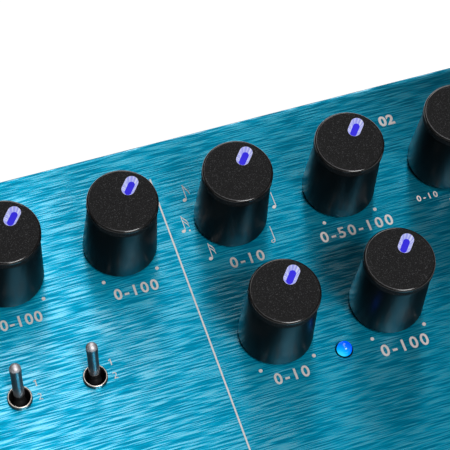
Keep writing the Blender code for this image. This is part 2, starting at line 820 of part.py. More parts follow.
for number, x in enumerate(JACK_COLUMNS, 1):
    solid(f"jack_{number}", jack_mesh, rear, (x, 0, 0))

# Power socket: a flanged barrel with a centre pin, held from outside by its flange.
bm = bmesh.new()
mouth = GAP + DC_FLANGE
floor = mouth - DC_BORE_DEPTH
turn(
    bm,
    (
        (0, mouth - DC_LENGTH),
        (DC_BARREL_RADIUS, mouth - DC_LENGTH),
        (DC_BARREL_RADIUS, GAP),
        (DC_FLANGE_RADIUS, GAP),
        (DC_FLANGE_RADIUS, mouth),
        (DC_BORE, mouth),
        (DC_BORE, floor),
        (DC_PIN_RADIUS, floor),
        (DC_PIN_RADIUS, floor + DC_PIN),
        (0, floor + DC_PIN),
    ),
    SHAFT_SIDES,
)
solid("dc_socket", mesh_of("dc_socket", bm, moulded_black), rear)

# The origin lies under the middle of the whole footprint, sockets included.
for obj in bpy.data.objects:
    if obj.parent is None:
        obj.location.y -= JACK_NOSE / 2
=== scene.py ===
# %% [markdown]
# # A two-section effects pedal
#
# The object is a low metal wedge with tall round knobs, small toggle levers and
# footswitches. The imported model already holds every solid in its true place, in
# metres. This script dresses it: finer shapes where facets would show, and a finish
# for every surface. The player's right is +X, the socket wall faces +Y, up is +Z.

import json
import math

import bmesh
import bpy
from mathutils import Matrix, Vector

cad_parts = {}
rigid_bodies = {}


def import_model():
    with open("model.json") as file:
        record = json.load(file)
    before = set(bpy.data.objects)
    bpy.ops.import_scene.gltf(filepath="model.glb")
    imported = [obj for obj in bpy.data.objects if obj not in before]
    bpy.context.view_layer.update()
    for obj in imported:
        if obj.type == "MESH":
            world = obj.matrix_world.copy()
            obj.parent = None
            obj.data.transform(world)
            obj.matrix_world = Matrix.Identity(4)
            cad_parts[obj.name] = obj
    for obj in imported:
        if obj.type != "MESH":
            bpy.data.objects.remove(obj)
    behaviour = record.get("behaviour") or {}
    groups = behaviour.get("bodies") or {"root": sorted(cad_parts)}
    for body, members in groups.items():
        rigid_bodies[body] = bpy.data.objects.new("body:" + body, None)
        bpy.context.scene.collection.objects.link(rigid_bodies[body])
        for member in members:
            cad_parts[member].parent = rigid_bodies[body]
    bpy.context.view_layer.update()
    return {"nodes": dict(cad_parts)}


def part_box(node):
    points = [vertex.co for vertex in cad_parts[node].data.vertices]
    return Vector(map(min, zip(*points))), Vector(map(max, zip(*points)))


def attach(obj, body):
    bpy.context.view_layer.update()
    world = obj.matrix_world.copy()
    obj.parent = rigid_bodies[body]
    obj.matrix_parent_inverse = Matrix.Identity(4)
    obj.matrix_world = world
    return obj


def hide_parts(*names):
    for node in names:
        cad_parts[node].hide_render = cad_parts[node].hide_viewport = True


for left_over in list(bpy.data.objects):
    bpy.data.objects.remove(left_over, do_unlink=True)
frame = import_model()

# %% [markdown]
# ## Where the panel lies
#
# Every control stands square to the sloping top, so it is easiest to model each one
# upright at the origin and then carry it to the panel with one matrix. The panel's own
# frame starts at the rear edge: X to the right, Y up the slope, Z out of the metal.

# %% The panel's frame
MM = 0.001
SLOPE = math.radians(7)
WIDTH = 172 * MM
DEPTH = 126 * MM
FRONT_HEIGHT = 30 * MM
REAR_HEIGHT = FRONT_HEIGHT + DEPTH * math.tan(SLOPE)
PANEL_LENGTH = DEPTH / math.cos(SLOPE)
SOCKET_REACH = 3.4 * MM
SOCKET_LEVEL = 20 * MM
REAR_WALL = DEPTH / 2 - SOCKET_REACH / 2
FRONT_WALL = REAR_WALL - DEPTH
PANEL = Matrix.Translation((0, REAR_WALL, REAR_HEIGHT)) @ Matrix.Rotation(SLOPE, 4, "X")
REAR = Matrix.Translation((0, REAR_WALL, SOCKET_LEVEL)) @ Matrix.Rotation(-math.pi / 2, 4, "X")


def on_panel(x, row, height=0.0, turn=0.0):
    """The place of a control: x from the middle, row from the rear edge down the slope."""
    spot = Matrix.Translation((x, -row, height))
    return PANEL @ spot @ Matrix.Rotation(turn, 4, "Z")


print("panel runs from", on_panel(0, PANEL_LENGTH).translation, "to", PANEL.translation)

# %% [markdown]
# ## The camera
#
# The photograph looks down at the controls from the player's left with a long lens, so
# parallel lines stay nearly parallel. The place and lens were found by matching the
# round knob tops, the dots and the rear edge to their real positions on the panel.

# %% Camera
CAMERA_AT = (-77.6025 * MM, -173.27 * MM, 366.8257 * MM)
CAMERA_TURN = tuple(math.radians(a) for a in (35.19109, -2.18435, -19.46622))
lens = bpy.data.cameras.new("camera")
lens.sensor_width = 36
lens.lens = 153.4622
lens.clip_start = 0.01
lens.clip_end = 20
camera = bpy.data.objects.new("camera", lens)
camera.location = CAMERA_AT
camera.rotation_euler = CAMERA_TURN
bpy.context.scene.collection.objects.link(camera)
bpy.context.scene.camera = camera
print("lens", lens.lens, "mm")

# %% [markdown]
# ## Light and floor
#
# Brushed metal shows its light source as a soft streak, so the lamps matter as much as
# the colour. One long softbox hangs overhead, so that the metal on the player's left
# mirrors it and turns pale while the far side stays deep. A second one behind the pedal
# keeps the far rows from going dull, and a smaller lamp in front gives the round black
# knobs their thin bright rims. The rest is a dim grey studio.

# %% Studio
scene = bpy.context.scene
scene.view_settings.view_transform = "Standard"
PEDAL_CENTRE = Vector((0, 0, 0.045))


def lamp(name, towards, distance, size, radiance):
    """A rectangular softbox, given by its direction from the pedal and its brightness."""
    data = bpy.data.lights.new(name, "AREA")
    data.shape = "RECTANGLE"
    data.size, data.size_y = size
    data.energy = radiance * math.pi * size[0] * size[1]
    made = bpy.data.objects.new(name, data)
    made.location = PEDAL_CENTRE + Vector(towards).normalized() * distance
    made.rotation_euler = (PEDAL_CENTRE - made.location).to_track_quat("-Z", "Y").to_euler()
    scene.collection.objects.link(made)


lamp("overhead_softbox", (-0.023, 0.23, 0.97), 1.3, (0.46, 1.5), 2.75)
lamp("rear_softbox", (0.46, 1.45, 1.2), 1.9, (0.7, 0.7), 4.7)
lamp("front_strip", (0.13, -0.6, 0.8), 1.2, (0.5, 0.38), 14.0)

ROOM_GREY = 0.065
world = bpy.data.worlds.new("studio")
scene.world = world
world.use_nodes = True
room = world.node_tree.nodes["Background"]
room.inputs["Color"].default_value = (ROOM_GREY, ROOM_GREY, ROOM_GREY, 1)

# %% [markdown]
# A finish starts from one Principled shader. The floor is white card: rays that come
# from the lens, or that bounce off metal and glass, see it mostly as plain white, and
# the rest of it is still shaded, so the pedal keeps a shadow on it.


# %% Floor
def new_material(name, colour, roughness, metallic=0.0, **more):
    """A material with one Principled shader, and its node tree ready for detail."""
    made = bpy.data.materials.new(name)
    made.use_nodes = True
    shader = made.node_tree.nodes["Principled BSDF"]
    shader.inputs["Base Color"].default_value = (*colour, 1)
    shader.inputs["Roughness"].default_value = roughness
    shader.inputs["Metallic"].default_value = metallic
    for socket, value in more.items():
        shader.inputs[socket.replace("_", " ")].default_value = value
    return made


def math_node(tree, operation, first, second=None, clamp=False):
    node = tree.nodes.new("ShaderNodeMath")
    node.operation = operation
    node.use_clamp = clamp
    for slot, value in enumerate((first, second)):
        if value is None:
            continue
        if isinstance(value, (int, float)):
            node.inputs[slot].default_value = value
        else:
            tree.links.new(value, node.inputs[slot])
    return node.outputs[0]


FLOOR_GLOW = 1.25
GLOW_SHARE = 0.7
FLOOR_SIZE = 3
paper = new_material("pale_floor", (0.86, 0.86, 0.86), 0.9)
tree = paper.node_tree
glow = tree.nodes.new("ShaderNodeEmission")
glow.inputs["Strength"].default_value = FLOOR_GLOW
rays = tree.nodes.new("ShaderNodeLightPath").outputs
seen = math_node(tree, "ADD", rays["Is Camera Ray"], rays["Is Glossy Ray"])
seen = math_node(tree, "ADD", seen, rays["Is Transmission Ray"], True)
blend = tree.nodes.new("ShaderNodeMixShader")
tree.links.new(math_node(tree, "MULTIPLY", seen, GLOW_SHARE), blend.inputs["Fac"])
tree.links.new(tree.nodes["Principled BSDF"].outputs[0], blend.inputs[1])
tree.links.new(glow.outputs[0], blend.inputs[2])
tree.links.new(blend.outputs[0], tree.nodes["Material Output"].inputs["Surface"])

bm = bmesh.new()
bmesh.ops.create_grid(bm, x_segments=2, y_segments=2, size=FLOOR_SIZE)
floor_mesh = bpy.data.meshes.new("floor")
bm.to_mesh(floor_mesh)
bm.free()
floor_mesh.materials.append(paper)
floor = bpy.data.objects.new("floor", floor_mesh)
scene.collection.objects.link(floor)
print("studio ready")

# %% [markdown]
# ## Shapes made once
#
# Most parts are turned: a profile of radius and height, spun round its axis. A helper
# spins it, merges the seam and the poles, and lays a map on it whose U goes round and
# V goes up, in metres, so grain and streaks can follow the surface. A second helper
# carries the finished mesh to its place and tells the frame which body it rides on,
# and small ones add boxes, bars and rounded edges.

# %% Turning and placing
HAIR = 1e-6


def turned(profile, sides=96):
    """Spins (radius, height) points, given in metres, round the Z axis of a new bmesh."""
    bm = bmesh.new()
    corners = [bm.verts.new((radius, 0, height)) for radius, height in profile]
    pairs = list(zip(corners, corners[1:]))
    if profile[0][0] or profile[-1][0]:
        pairs.append((corners[-1], corners[0]))
    edges = [bm.edges.new(pair) for pair in pairs]
    bmesh.ops.spin(
        bm,
        geom=corners + edges,
        cent=(0, 0, 0),
        axis=(0, 0, 1),
        angle=math.tau,
        steps=sides,
        use_merge=True,
    )
    bmesh.ops.remove_doubles(bm, verts=bm.verts, dist=HAIR)
    bmesh.ops.recalc_face_normals(bm, faces=bm.faces)
    return bm


def map_round(bm, reach):
    """U runs round the axis at the given radius, V runs up the part."""
    layer = bm.loops.layers.uv.new("wrap")
    for face in bm.faces:
        middle = face.calc_center_median()
        home = math.atan2(middle.y, middle.x)
        for loop in face.loops:
            at = loop.vert.co
            angle = math.atan2(at.y, at.x) if at.xy.length > HAIR else home
            angle += math.tau * round((home - angle) / math.tau)
            loop[layer].uv = (angle * reach, at.z)


def mesh_from(bm, name="blank"):
    """Turns a bmesh into a mesh and clears it away."""
    mesh = bpy.data.meshes.new(name)
    bm.to_mesh(mesh)
    bm.free()
    return mesh


def bmesh_from(mesh):
    bm = bmesh.new()
    bm.from_mesh(mesh)
    return bm


def piece(name, bm, finishes, body, place=Matrix(), node=None):
    """Turns the bmesh into a finished piece at its place, riding on its body."""
    piece_of_mesh(name, mesh_from(bm, name), finishes, body, place, node)


def piece_of_mesh(name, mesh, finishes, body, place=Matrix(), node=None, smooth=35):
    """The same for a finished mesh: edges sharper than smooth, in degrees, stay crisp."""
    mesh.transform(place)
    mesh.shade_smooth()
    mesh.set_sharp_from_angle(angle=math.radians(smooth))
    for index, finish in enumerate(finishes if isinstance(finishes, list) else [finishes]):
        if index < len(mesh.materials):
            mesh.materials[index] = finish
        else:
            mesh.materials.append(finish)
    made = bpy.data.objects.new(name, mesh)
    scene.collection.objects.link(made)
    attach(made, body)
    if node:
        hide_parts(node)


def cut(mesh, cutter_bm, operation="DIFFERENCE"):
    """Cuts one mesh with another through a Boolean and gives the result back."""
    blank = bpy.data.objects.new("blank", mesh)
    cutter = bpy.data.objects.new("cutter", mesh_from(cutter_bm, "cutter"))
    scene.collection.objects.link(blank)
    scene.collection.objects.link(cutter)
    step = blank.modifiers.new("cut", "BOOLEAN")
    step.operation = operation
    step.solver = "EXACT"
    step.object = cutter
    graph = bpy.context.evaluated_depsgraph_get()
    result = bpy.data.meshes.new_from_object(blank.evaluated_get(graph))
    bpy.data.objects.remove(blank)
    bpy.data.objects.remove(cutter)
    return result


def arc(radius, height, bend, start, end, steps):
    """Points of a rounded edge in a profile, centred at (radius, height)."""
    angles = [start + (end - start) * step / steps for step in range(steps + 1)]
    return [
        (
            radius + bend * math.cos(math.radians(a)),
            height + bend * math.sin(math.radians(a)),
        )
        for a in angles
    ]


def block(bm, middle, size, turn=0.0):
    """A box about its middle, turned round the upright axis."""
    place = Matrix.Translation(middle) @ Matrix.Rotation(turn, 4, "Z")
    bmesh.ops.create_cube(bm, size=1, matrix=place @ Matrix.Diagonal((*size, 1)))


def rod(bm, radius, length, place=Matrix(), sides=96):
    """A straight bar of so many sides, centred on its place."""
    bmesh.ops.create_cone(
        bm,
        cap_ends=True,
        segments=sides,
        radius1=radius,
        radius2=radius,
        depth=length,
        matrix=place,
    )


def soften(bm, edges, offset, steps):
    """Rounds edges with the bevel operator."""
    bmesh.ops.bevel(
        bm,
        geom=edges,
        offset=offset,
        segments=steps,
        profile=0.5,
        affect="EDGES",
        material=-1,
    )


print("helpers ready")

# %% [markdown]
# ## Effects that several finishes share
#
# A node group is a small machine with named inputs. "Brushing" gives long fine
# scratches from noise stretched along one direction. "Grain" gives the tiny speckle of
# moulded or coated surfaces. "Handling" gives the slow patches that fingers leave.
# Groups only put out masks and heights, and each material decides what they change.


# %% Shared effects
def effect(name, inputs, outputs):
    """An empty node group with vector or value inputs and value outputs."""
    group = bpy.data.node_groups.new(name, "ShaderNodeTree")
    for label, kind, value in inputs:
        socket = group.interface.new_socket(label, in_out="INPUT", socket_type=kind)
        if value is not None:
            socket.default_value = value
    for label in outputs:
        group.interface.new_socket(label, in_out="OUTPUT", socket_type="NodeSocketFloat")
    entry = group.nodes.new("NodeGroupInput")
    out = group.nodes.new("NodeGroupOutput")
    return group, entry, out


def noise_node(tree, vector, scale, detail, rough=0.5):
    node = tree.nodes.new("ShaderNodeTexNoise")
    node.inputs["Detail"].default_value = detail
    node.inputs["Roughness"].default_value = rough
    if isinstance(scale, (int, float)):
        node.inputs["Scale"].default_value = scale
    else:
        tree.links.new(scale, node.inputs["Scale"])
    tree.links.new(vector, node.inputs["Vector"])
    return node.outputs["Fac"]


def stretched(tree, vector, across, along, shift=0.0):
    """Scales the map so that noise on it runs as long streaks."""
    node = tree.nodes.new("ShaderNodeMapping")
    node.inputs["Scale"].default_value = (across, along, 1)
    node.inputs["Location"].default_value = (shift, shift, shift)
    tree.links.new(vector, node.inputs["Vector"])
    return node.outputs["Vector"]


VECTOR, VALUE = "NodeSocketVector", "NodeSocketFloat"
brushing, entry, out = effect(
    "Brushing",
    [("Map", VECTOR, None)],
    ["Bands", "Scratches", "Hairs"],
)
for label, across, along in (
    ("Bands", 1100, 30),
    ("Scratches", 3700, 115),
    ("Hairs", 5000, 230),
):
    pulled = stretched(brushing, entry.outputs["Map"], across, along, across)
    brushing.links.new(noise_node(brushing, pulled, 1, 0.0), out.inputs[label])

grain, entry, out = effect(
    "Grain", [("Map", VECTOR, None), ("Scale", VALUE, 9000.0)], ["Specks", "Height"]
)
fine = noise_node(grain, entry.outputs["Map"], entry.outputs["Scale"], 2.0, 0.6)
specks = math_node(grain, "MULTIPLY", math_node(grain, "SUBTRACT", fine, 0.58), 7.0, True)
grain.links.new(specks, out.inputs["Specks"])
grain.links.new(fine, out.inputs["Height"])

handling, entry, out = effect("Handling", [("Map", VECTOR, None)], ["Patches"])
slow = noise_node(handling, entry.outputs["Map"], 55.0, 4.0, 0.6)
handling.links.new(slow, out.inputs["Patches"])
print("effects:", brushing.name, grain.name, handling.name)

# %% [markdown]
# ## Finishes
#
# Each finish starts as one shader and gets its detail from the groups. A ramp turns a
# mask into colour, a range turns it into roughness, and a bump node turns the heights
# into relief. The brushed case also bends its highlights across the scratches.


# %% Tools for finishes
def use_effect(material, group, vector, **values):
    node = material.node_tree.nodes.new("ShaderNodeGroup")
    node.node_tree = group
    material.node_tree.links.new(vector, node.inputs["Map"])
    for label, value in values.items():
        node.inputs[label].default_value = value
    return node.outputs


def object_map(material):
    return material.node_tree.nodes.new("ShaderNodeTexCoord").outputs["Object"]


def own_map(material, layer):
    node = material.node_tree.nodes.new("ShaderNodeUVMap")
    node.uv_map = layer
    return node.outputs["UV"]


def ramp(material, factor, stops):
    node = material.node_tree.nodes.new("ShaderNodeValToRGB")
    points = node.color_ramp.elements
    while len(points) < len(stops):
        points.new(0.5)
    for point, (where, colour) in zip(points, stops):
        point.position = where
        point.color = (*colour, 1)
    material.node_tree.links.new(factor, node.inputs["Fac"])
    return node.outputs["Color"]


def span(material, factor, low, high):
    """Spreads a 0 to 1 mask between two values."""
    node = material.node_tree.nodes.new("ShaderNodeMapRange")
    node.inputs["To Min"].default_value = low
    node.inputs["To Max"].default_value = high
    material.node_tree.links.new(factor, node.inputs["Value"])
    return node.outputs["Result"]


def feed(material, output, socket):
    shader = material.node_tree.nodes["Principled BSDF"]
    material.node_tree.links.new(output, shader.inputs[socket])


def grey(value):
    return (value, value, value * 1.04)


def relief(material, height, depth, strength=1.0):
    node = material.node_tree.nodes.new("ShaderNodeBump")
    node.inputs["Distance"].default_value = depth
    node.inputs["Strength"].default_value = strength
    material.node_tree.links.new(height, node.inputs["Height"])
    feed(material, node.outputs["Normal"], "Normal")


# %% [markdown]
# ### Brushed blue metal
#
# The case is aluminium, brushed from side to side and then dyed while its skin is
# still porous. Long scratches catch the light as pale threads, and between them the dye
# looks deeper. Three widths of scratch are summed, because real brushing is uneven.

# %% Brushed blue metal
brushed = new_material(
    "brushed_blue_metal",
    (0.0, 0.18, 0.29),
    0.34,
    1.0,
    Anisotropic=0.9,
    Coat_Roughness=0.22,
    Coat_IOR=2.05,
)
tree = brushed.node_tree
streaks = use_effect(brushed, brushing, own_map(brushed, "brush"))
bands, scratches, hairs = (
    math_node(tree, "MULTIPLY", streaks[label], share)
    for label, share in (("Bands", 0.06), ("Scratches", 0.46), ("Hairs", 0.48))
)
threads = math_node(tree, "ADD", math_node(tree, "ADD", bands, scratches), hairs)
tint = ramp(
    brushed,
    threads,
    (
        (0.40, (0.000, 0.128, 0.220)),
        (0.50, (0.000, 0.206, 0.332)),
        (0.60, (0.003, 0.292, 0.428)),
    ),
)
feed(brushed, tint, "Base Color")
feed(brushed, span(brushed, threads, 0.42, 0.28), "Roughness")
feed(brushed, ramp(brushed, threads, ((0.50, grey(0.01)), (0.61, grey(1.0)))), "Coat Weight")
relief(brushed, threads, 0.00003, 0.5)
across = tree.nodes.new("ShaderNodeTangent")
across.direction_type = "UV_MAP"
across.uv_map = "brush"
feed(brushed, across.outputs["Tangent"], "Tangent")

# %% [markdown]
# ### Coated and moulded surfaces
#
# Moulded plastic, rubber and powder coat differ mostly in how coarse their grain is and
# how much it scatters. One helper gives them all a speckle, an uneven shine and a relief.


# %% Grained finishes
def grained(name, dark, pale, shine, coarse, depth, **more):
    """A finish with specks of a paler colour, a range of roughness and a fine relief."""
    made = new_material(name, dark, shine[0], **more)
    marks = use_effect(made, grain, object_map(made), Scale=coarse)
    feed(made, ramp(made, marks["Specks"], ((0, dark), (1, pale))), "Base Color")
    feed(made, span(made, marks["Height"], *shine), "Roughness")
    relief(made, marks["Height"], depth, 0.5)
    return made


cap_coat = grained(
    "soft_touch_black", grey(0.0095), grey(0.085), (0.8, 0.6), 5000, 4e-5, Specular_IOR_Level=0.12
)
cap_edge = grained(
    "cap_rim_black", grey(0.007), grey(0.02), (0.22, 0.12), 5200, 1e-5, Specular_IOR_Level=0.7
)
skirt_coat = grained(
    "satin_black", grey(0.003), grey(0.006), (0.38, 0.28), 7000, 3e-6, Specular_IOR_Level=0.22
)
moulded = grained("moulded_black", grey(0.012), grey(0.02), (0.5, 0.34), 9000, 1e-5)
rubber = grained("rubber", grey(0.018), grey(0.03), (0.9, 0.8), 6000, 4e-5)
powder = grained("powder_coat", grey(0.022), grey(0.045), (0.68, 0.42), 4000, 8e-5)
ink = grained(
    "warm_grey_ink", (0.68, 0.65, 0.63), (0.78, 0.75, 0.73), (0.62, 0.5), 7000, 6e-6
)
board_green = grained(
    "circuit_board", (0.012, 0.08, 0.04), (0.03, 0.15, 0.08), (0.5, 0.32), 900, 1e-5
)

# %% [markdown]
# ### Bright metal
#
# Turned and polished parts keep faint rings from the tool, so their shine is broken up
# by thin scratches that run round them.

# %% Bright metal


def turned_metal(name, dark, pale, shine):
    """Metal with tool rings, which follow the part's own wrapped map."""
    made = new_material(name, dark, shine[0], 1.0)
    marks = use_effect(made, brushing, own_map(made, "wrap"))
    feed(made, ramp(made, marks["Bands"], ((0.3, dark), (0.7, pale))), "Base Color")
    feed(made, span(made, marks["Scratches"], *shine), "Roughness")
    relief(made, marks["Hairs"], 4e-6, 0.4)
    return made


steel = turned_metal("polished_steel", grey(0.50), grey(0.64), (0.1, 0.26))
lever_steel = turned_metal("lever_steel", (0.40, 0.41, 0.44), (0.54, 0.55, 0.58), (0.28, 0.40))
# The lever's tip is rougher than its stem, and its steel is painted paler: a painted highlight.
tip_steel_painted_highlight = turned_metal("lever_tip_painted_highlight", (0.66, 0.64, 0.67), (0.80, 0.78, 0.81), (0.50, 0.62))

collar_metal = new_material("collar_rim", (0.72, 0.66, 0.6), 0.3, 1.0)
marks = use_effect(collar_metal, handling, object_map(collar_metal))
feed(collar_metal, span(collar_metal, marks["Patches"], 0.22, 0.4), "Roughness")

# %% [markdown]
# ### Lit parts
#
# The pointer is the end of a clear shaft with a lamp under it. Its floor is a deep blue,
# and its sloping wall is ground to fine ribs that turn the same light nearly white.

# %% Lit parts
well_glow = new_material("lit_well_wall", (0.12, 0.12, 0.20), 0.5, Emission_Strength=0.8)
ribs = noise_node(
    well_glow.node_tree,
    stretched(well_glow.node_tree, own_map(well_glow, "wrap"), 3600, 150),
    1,
    1.0,
)
feed(
    well_glow,
    ramp(well_glow, ribs, ((0.40, (0.28, 0.31, 0.78)), (0.60, (0.66, 0.70, 0.90)))),
    "Emission Color",
)
relief(well_glow, ribs, 2e-5, 0.4)

floor_glow = new_material("lit_well_floor", (0.004, 0.002, 0.03), 0.8, Emission_Strength=0.75)
marks = use_effect(floor_glow, handling, object_map(floor_glow))
feed(
    floor_glow,
    ramp(floor_glow, marks["Patches"], ((0.3, (0.012, 0.004, 0.80)), (0.7, (0.026, 0.014, 0.95)))),
    "Emission Color",
)

clear_guide = new_material(
    "light_guide", (0.6, 0.62, 0.9), 0.25, Transmission_Weight=0.6, IOR=1.49
)
marks = use_effect(clear_guide, grain, object_map(clear_guide), Scale=2500)
feed(clear_guide, span(clear_guide, marks["Height"], 0.2, 0.34), "Roughness")

lens_blue = new_material(
    "lit_lens", (0.0, 0.05, 0.3), 0.12, Emission_Strength=0.95, Specular_IOR_Level=0.6
)
# The lens foot is a darker copy of the lens that does not glow: painted shade for the gap between
# dome and hole.
lens_foot_painted_shade = grained("lens_foot_painted_shade", (0.004, 0.012, 0.03), (0.01, 0.02, 0.05), (0.3, 0.2), 3000, 5e-6)
print(len(bpy.data.materials), "finishes")

# %% [markdown]
# ## The case
#
# The case is one wedge, open underneath. An outline of its side is drawn in, pulled
# across to the full width, and its upright corners and top edges are rounded with the
# bevel operator. The hollow and the holes for the controls are cut with Booleans.

# %% Case
CORNER = 3 * MM
EDGE_ROUND = 0.6 * MM
WALL = 2 * MM
SHEET = 2 * MM
UNDERSIDE = 3.3 * MM
SPARE = 1 * MM
GAP = 0.3 * MM


def wedge(inset, roof, low, corner, steps):
    """The case's outline drawn in by inset, its roof lowered along the panel's normal."""
    bm = bmesh.new()
    drop, fall = roof / math.cos(SLOPE), inset * math.tan(SLOPE)
    front, back = FRONT_WALL + inset, REAR_WALL - inset
    side = WIDTH / 2 - inset
    outline = (
        (front, low),
        (back, low),
        (back, REAR_HEIGHT - drop - fall),
        (front, FRONT_HEIGHT - drop + fall),
    )
    face = bm.faces.new([bm.verts.new((-side, y, z)) for y, z in outline])
    pulled = bmesh.ops.extrude_face_region(bm, geom=[face])
    moved = [v for v in pulled["geom"] if isinstance(v, bmesh.types.BMVert)]
    bmesh.ops.translate(bm, verts=moved, vec=(2 * side, 0, 0))
    upright = [e for e in bm.edges if (e.verts[0].co - e.verts[1].co).xy.length < HAIR]
    soften(bm, upright, corner, steps)
    bmesh.ops.recalc_face_normals(bm, faces=bm.faces)
    return bm


bm = wedge(0, 0, UNDERSIDE, CORNER, 10)
bm.normal_update()
panel_up = (PANEL.to_3x3() @ Vector((0, 0, 1))).normalized()
roof = max(bm.faces, key=lambda face: face.normal.dot(panel_up) * face.calc_area())
soften(bm, list(roof.edges), EDGE_ROUND, 5)
case_mesh = mesh_from(bm)
case_mesh = cut(case_mesh, wedge(WALL, SHEET, UNDERSIDE - SPARE, CORNER - WALL, 6))

KNOB_PITCH = 24 * MM
KNOB_ROWS = (21.5 * MM, 49.3 * MM)
KNOB_COLUMNS = [KNOB_PITCH * (n - 2.5) for n in range(6)]
KNOBS = [(x, KNOB_ROWS[0]) for x in KNOB_COLUMNS]
KNOBS += [(x, KNOB_ROWS[1]) for x in KNOB_COLUMNS[3:5]]
TOGGLES = [(x * MM, 48.2 * MM) for x in (-56.3, -40.9, -25.5, 60.0)]
LAMPS = {
    "tempo_led": (24 * MM, 57 * MM),
    "status_led_1": (-57 * MM, PANEL_LENGTH - 40 * MM),
    "status_led_2": (57 * MM, PANEL_LENGTH - 40 * MM),
}
FOOTSWITCHES = [(x * MM, PANEL_LENGTH - 21 * MM) for x in (-57, 0, 57)]
JACKS = [x * MM for x in (-62, -40, 40, 62)]
KNOB_HOLE = 4.3 * MM
TOGGLE_HOLE = 2.5 * MM
LAMP_HOLE = 1.85 * MM
SWITCH_HOLE = 6.3 * MM
JACK_HOLE = 5 * MM
POWER_HOLE = 5.9 * MM


def bores(spots, radius, face):
    """Round cutters through the metal, square to a face, at the given spots."""
    bm = bmesh.new()
    for x, row in spots:
        spot = face @ Matrix.Translation((x, -row, 0))
        rod(bm, radius, 2 * (SHEET + SPARE), spot, 48)
    return bm


for spots, radius, face in (
    (KNOBS, KNOB_HOLE, PANEL),
    (TOGGLES, TOGGLE_HOLE, PANEL),
    (LAMPS.values(), LAMP_HOLE, PANEL),
    (FOOTSWITCHES, SWITCH_HOLE, PANEL),
    ([(x, 0) for x in JACKS], JACK_HOLE, REAR),
    ([(0, 0)], POWER_HOLE, REAR),
):
    case_mesh = cut(case_mesh, bores(spots, radius, face))

bm = bmesh_from(case_mesh)
layer = bm.loops.layers.uv.new("brush")
for face in bm.faces:
    n = face.normal
    for loop in face.loops:
        x, y, z = loop.vert.co
        if abs(n.z) > 0.6:
            loop[layer].uv = (y, x)
        elif abs(n.y) > abs(n.x):
            loop[layer].uv = (z, x)
        else:
            loop[layer].uv = (z, y)
bm.to_mesh(case_mesh)
bm.free()
piece_of_mesh(
    "case", case_mesh, brushed, "housing", node="shell", smooth=30
)
print("case faces:", len(case_mesh.polygons))

# %% [markdown]
# ## Knobs
#
# A knob is three parts: a tapered skirt, a cap with a softly rounded rim, and a clear
# shaft that lights the pointer. The pointer is a small well with sloping sides, and its
# lit floor lies a millimetre under the cap. All eight point the same way at rest.

# %% Knob shapes
KNOB_HEIGHT = 18.8 * MM
CAP_RADIUS = 7.15 * MM
CAP_UNDERSIDE = 16.9 * MM
CAP_ROUND = 0.55 * MM
SKIRT_TOP = 16.6 * MM
SKIRT_TOP_RADIUS = 6.9 * MM
SKIRT_BASE_RADIUS = 7.6 * MM
SKIRT_FLOAT = 0.8 * MM
SEAT = 15.8 * MM
POINTER_TURN = math.radians(-40)
POINTER_CENTRE = 3.75 * MM
POINTER_SIZE = (2.65 * MM, 4.5 * MM)
WELL_DEPTH = 1.1 * MM
WELL_TAPER = 0.6 * MM
POINTER_SIDES = 56


def capsule(bm, width, length, height):
    """A flat face with half-round ends, long along Y, where the pointer stands."""
    radius = width / 2
    ring = bmesh.ops.create_circle(bm, cap_ends=True, segments=POINTER_SIDES, radius=radius)
    for v in ring["verts"]:
        v.co.y += math.copysign(length / 2 - radius, v.co.y)
        v.co += Vector((0, POINTER_CENTRE, height))
    return ring["verts"][0].link_faces[0]


def raised(bm, face, height):
    """Pulls a face straight up into a closed body and gives back its top."""
    pulled = bmesh.ops.extrude_face_region(bm, geom=[face], use_keep_orig=True)
    top = next(g for g in pulled["geom"] if isinstance(g, bmesh.types.BMFace))
    bmesh.ops.translate(bm, verts=top.verts, vec=(0, 0, height))
    bmesh.ops.recalc_face_normals(bm, faces=bm.faces)
    return top


bm = turned(
    [
        (0, CAP_UNDERSIDE),
        *arc(CAP_RADIUS - 0.15 * MM, CAP_UNDERSIDE + 0.15 * MM, 0.15 * MM, -90, 0, 4),
        *arc(CAP_RADIUS - CAP_ROUND, KNOB_HEIGHT - CAP_ROUND, CAP_ROUND, 0, 90, 8),
        (0, KNOB_HEIGHT),
    ],
    128,
)
cap_mesh = mesh_from(bm)
bm = bmesh.new()
raised(bm, capsule(bm, *POINTER_SIZE, CAP_UNDERSIDE - SPARE), 4 * MM)
cap_mesh = cut(cap_mesh, bm)
for face in cap_mesh.polygons:
    if face.normal.z < 0.985 and face.center.z > KNOB_HEIGHT - CAP_ROUND:
        face.material_index = 1

bm = turned(
    [
        *arc(SKIRT_BASE_RADIUS - 0.2 * MM, SKIRT_FLOAT + 0.2 * MM, 0.2 * MM, -90, 0, 4),
        *arc(SKIRT_TOP_RADIUS - 0.25 * MM, SKIRT_TOP - 0.25 * MM, 0.25 * MM, 0, 90, 4),
        (6.0 * MM, SKIRT_TOP),
        (6.0 * MM, SEAT),
        (3.3 * MM, SEAT),
        (3.3 * MM, 7.2 * MM),
        (5.2 * MM, 7.2 * MM),
        (6.4 * MM, SKIRT_FLOAT),
    ],
    128,
)
map_round(bm, SKIRT_TOP_RADIUS)
skirt_mesh = mesh_from(bm)

bm = turned(
    [
        (0, -7.4 * MM),
        (3 * MM, -7.4 * MM),
        (3 * MM, SEAT + GAP),
        (5.7 * MM, SEAT + GAP),
        (5.7 * MM, SKIRT_TOP),
        (0, SKIRT_TOP),
    ],
    64,
)
shaft_mesh = mesh_from(bm)

